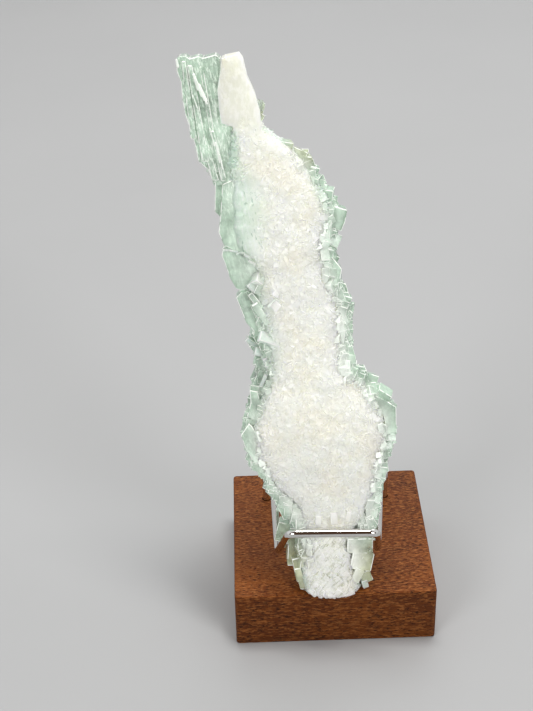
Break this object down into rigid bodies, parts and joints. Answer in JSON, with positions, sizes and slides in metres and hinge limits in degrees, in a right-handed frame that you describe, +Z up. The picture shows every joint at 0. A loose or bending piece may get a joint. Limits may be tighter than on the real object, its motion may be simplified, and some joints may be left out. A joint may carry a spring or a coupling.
{
  "type": "halite crystal specimen on display stand",
  "caption": "Tall leaning plate of milky halite rimmed with clear pale green cubes, held by a bent wire easel on a square hardwood block.",
  "frame": {"origin": "centre of the flat underside of the wood block", "axes": "+Z up from the underside, +X to the right and +Y away, seen from the front where the wire bar crosses the mineral"},
  "size_m": [0.0816, 0.0719, 0.1992],
  "materials": {
    "wood": "oiled reddish brown hardwood, fine open pores",
    "wire": "polished chrome plate",
    "halite": "milky white core, clear pale green cubes round it"
  },
  "bodies": {
    "root": {"wood_block": "wood", "wire_easel": "wire", "halite_specimen": "halite"}
  },
  "joints": []
}
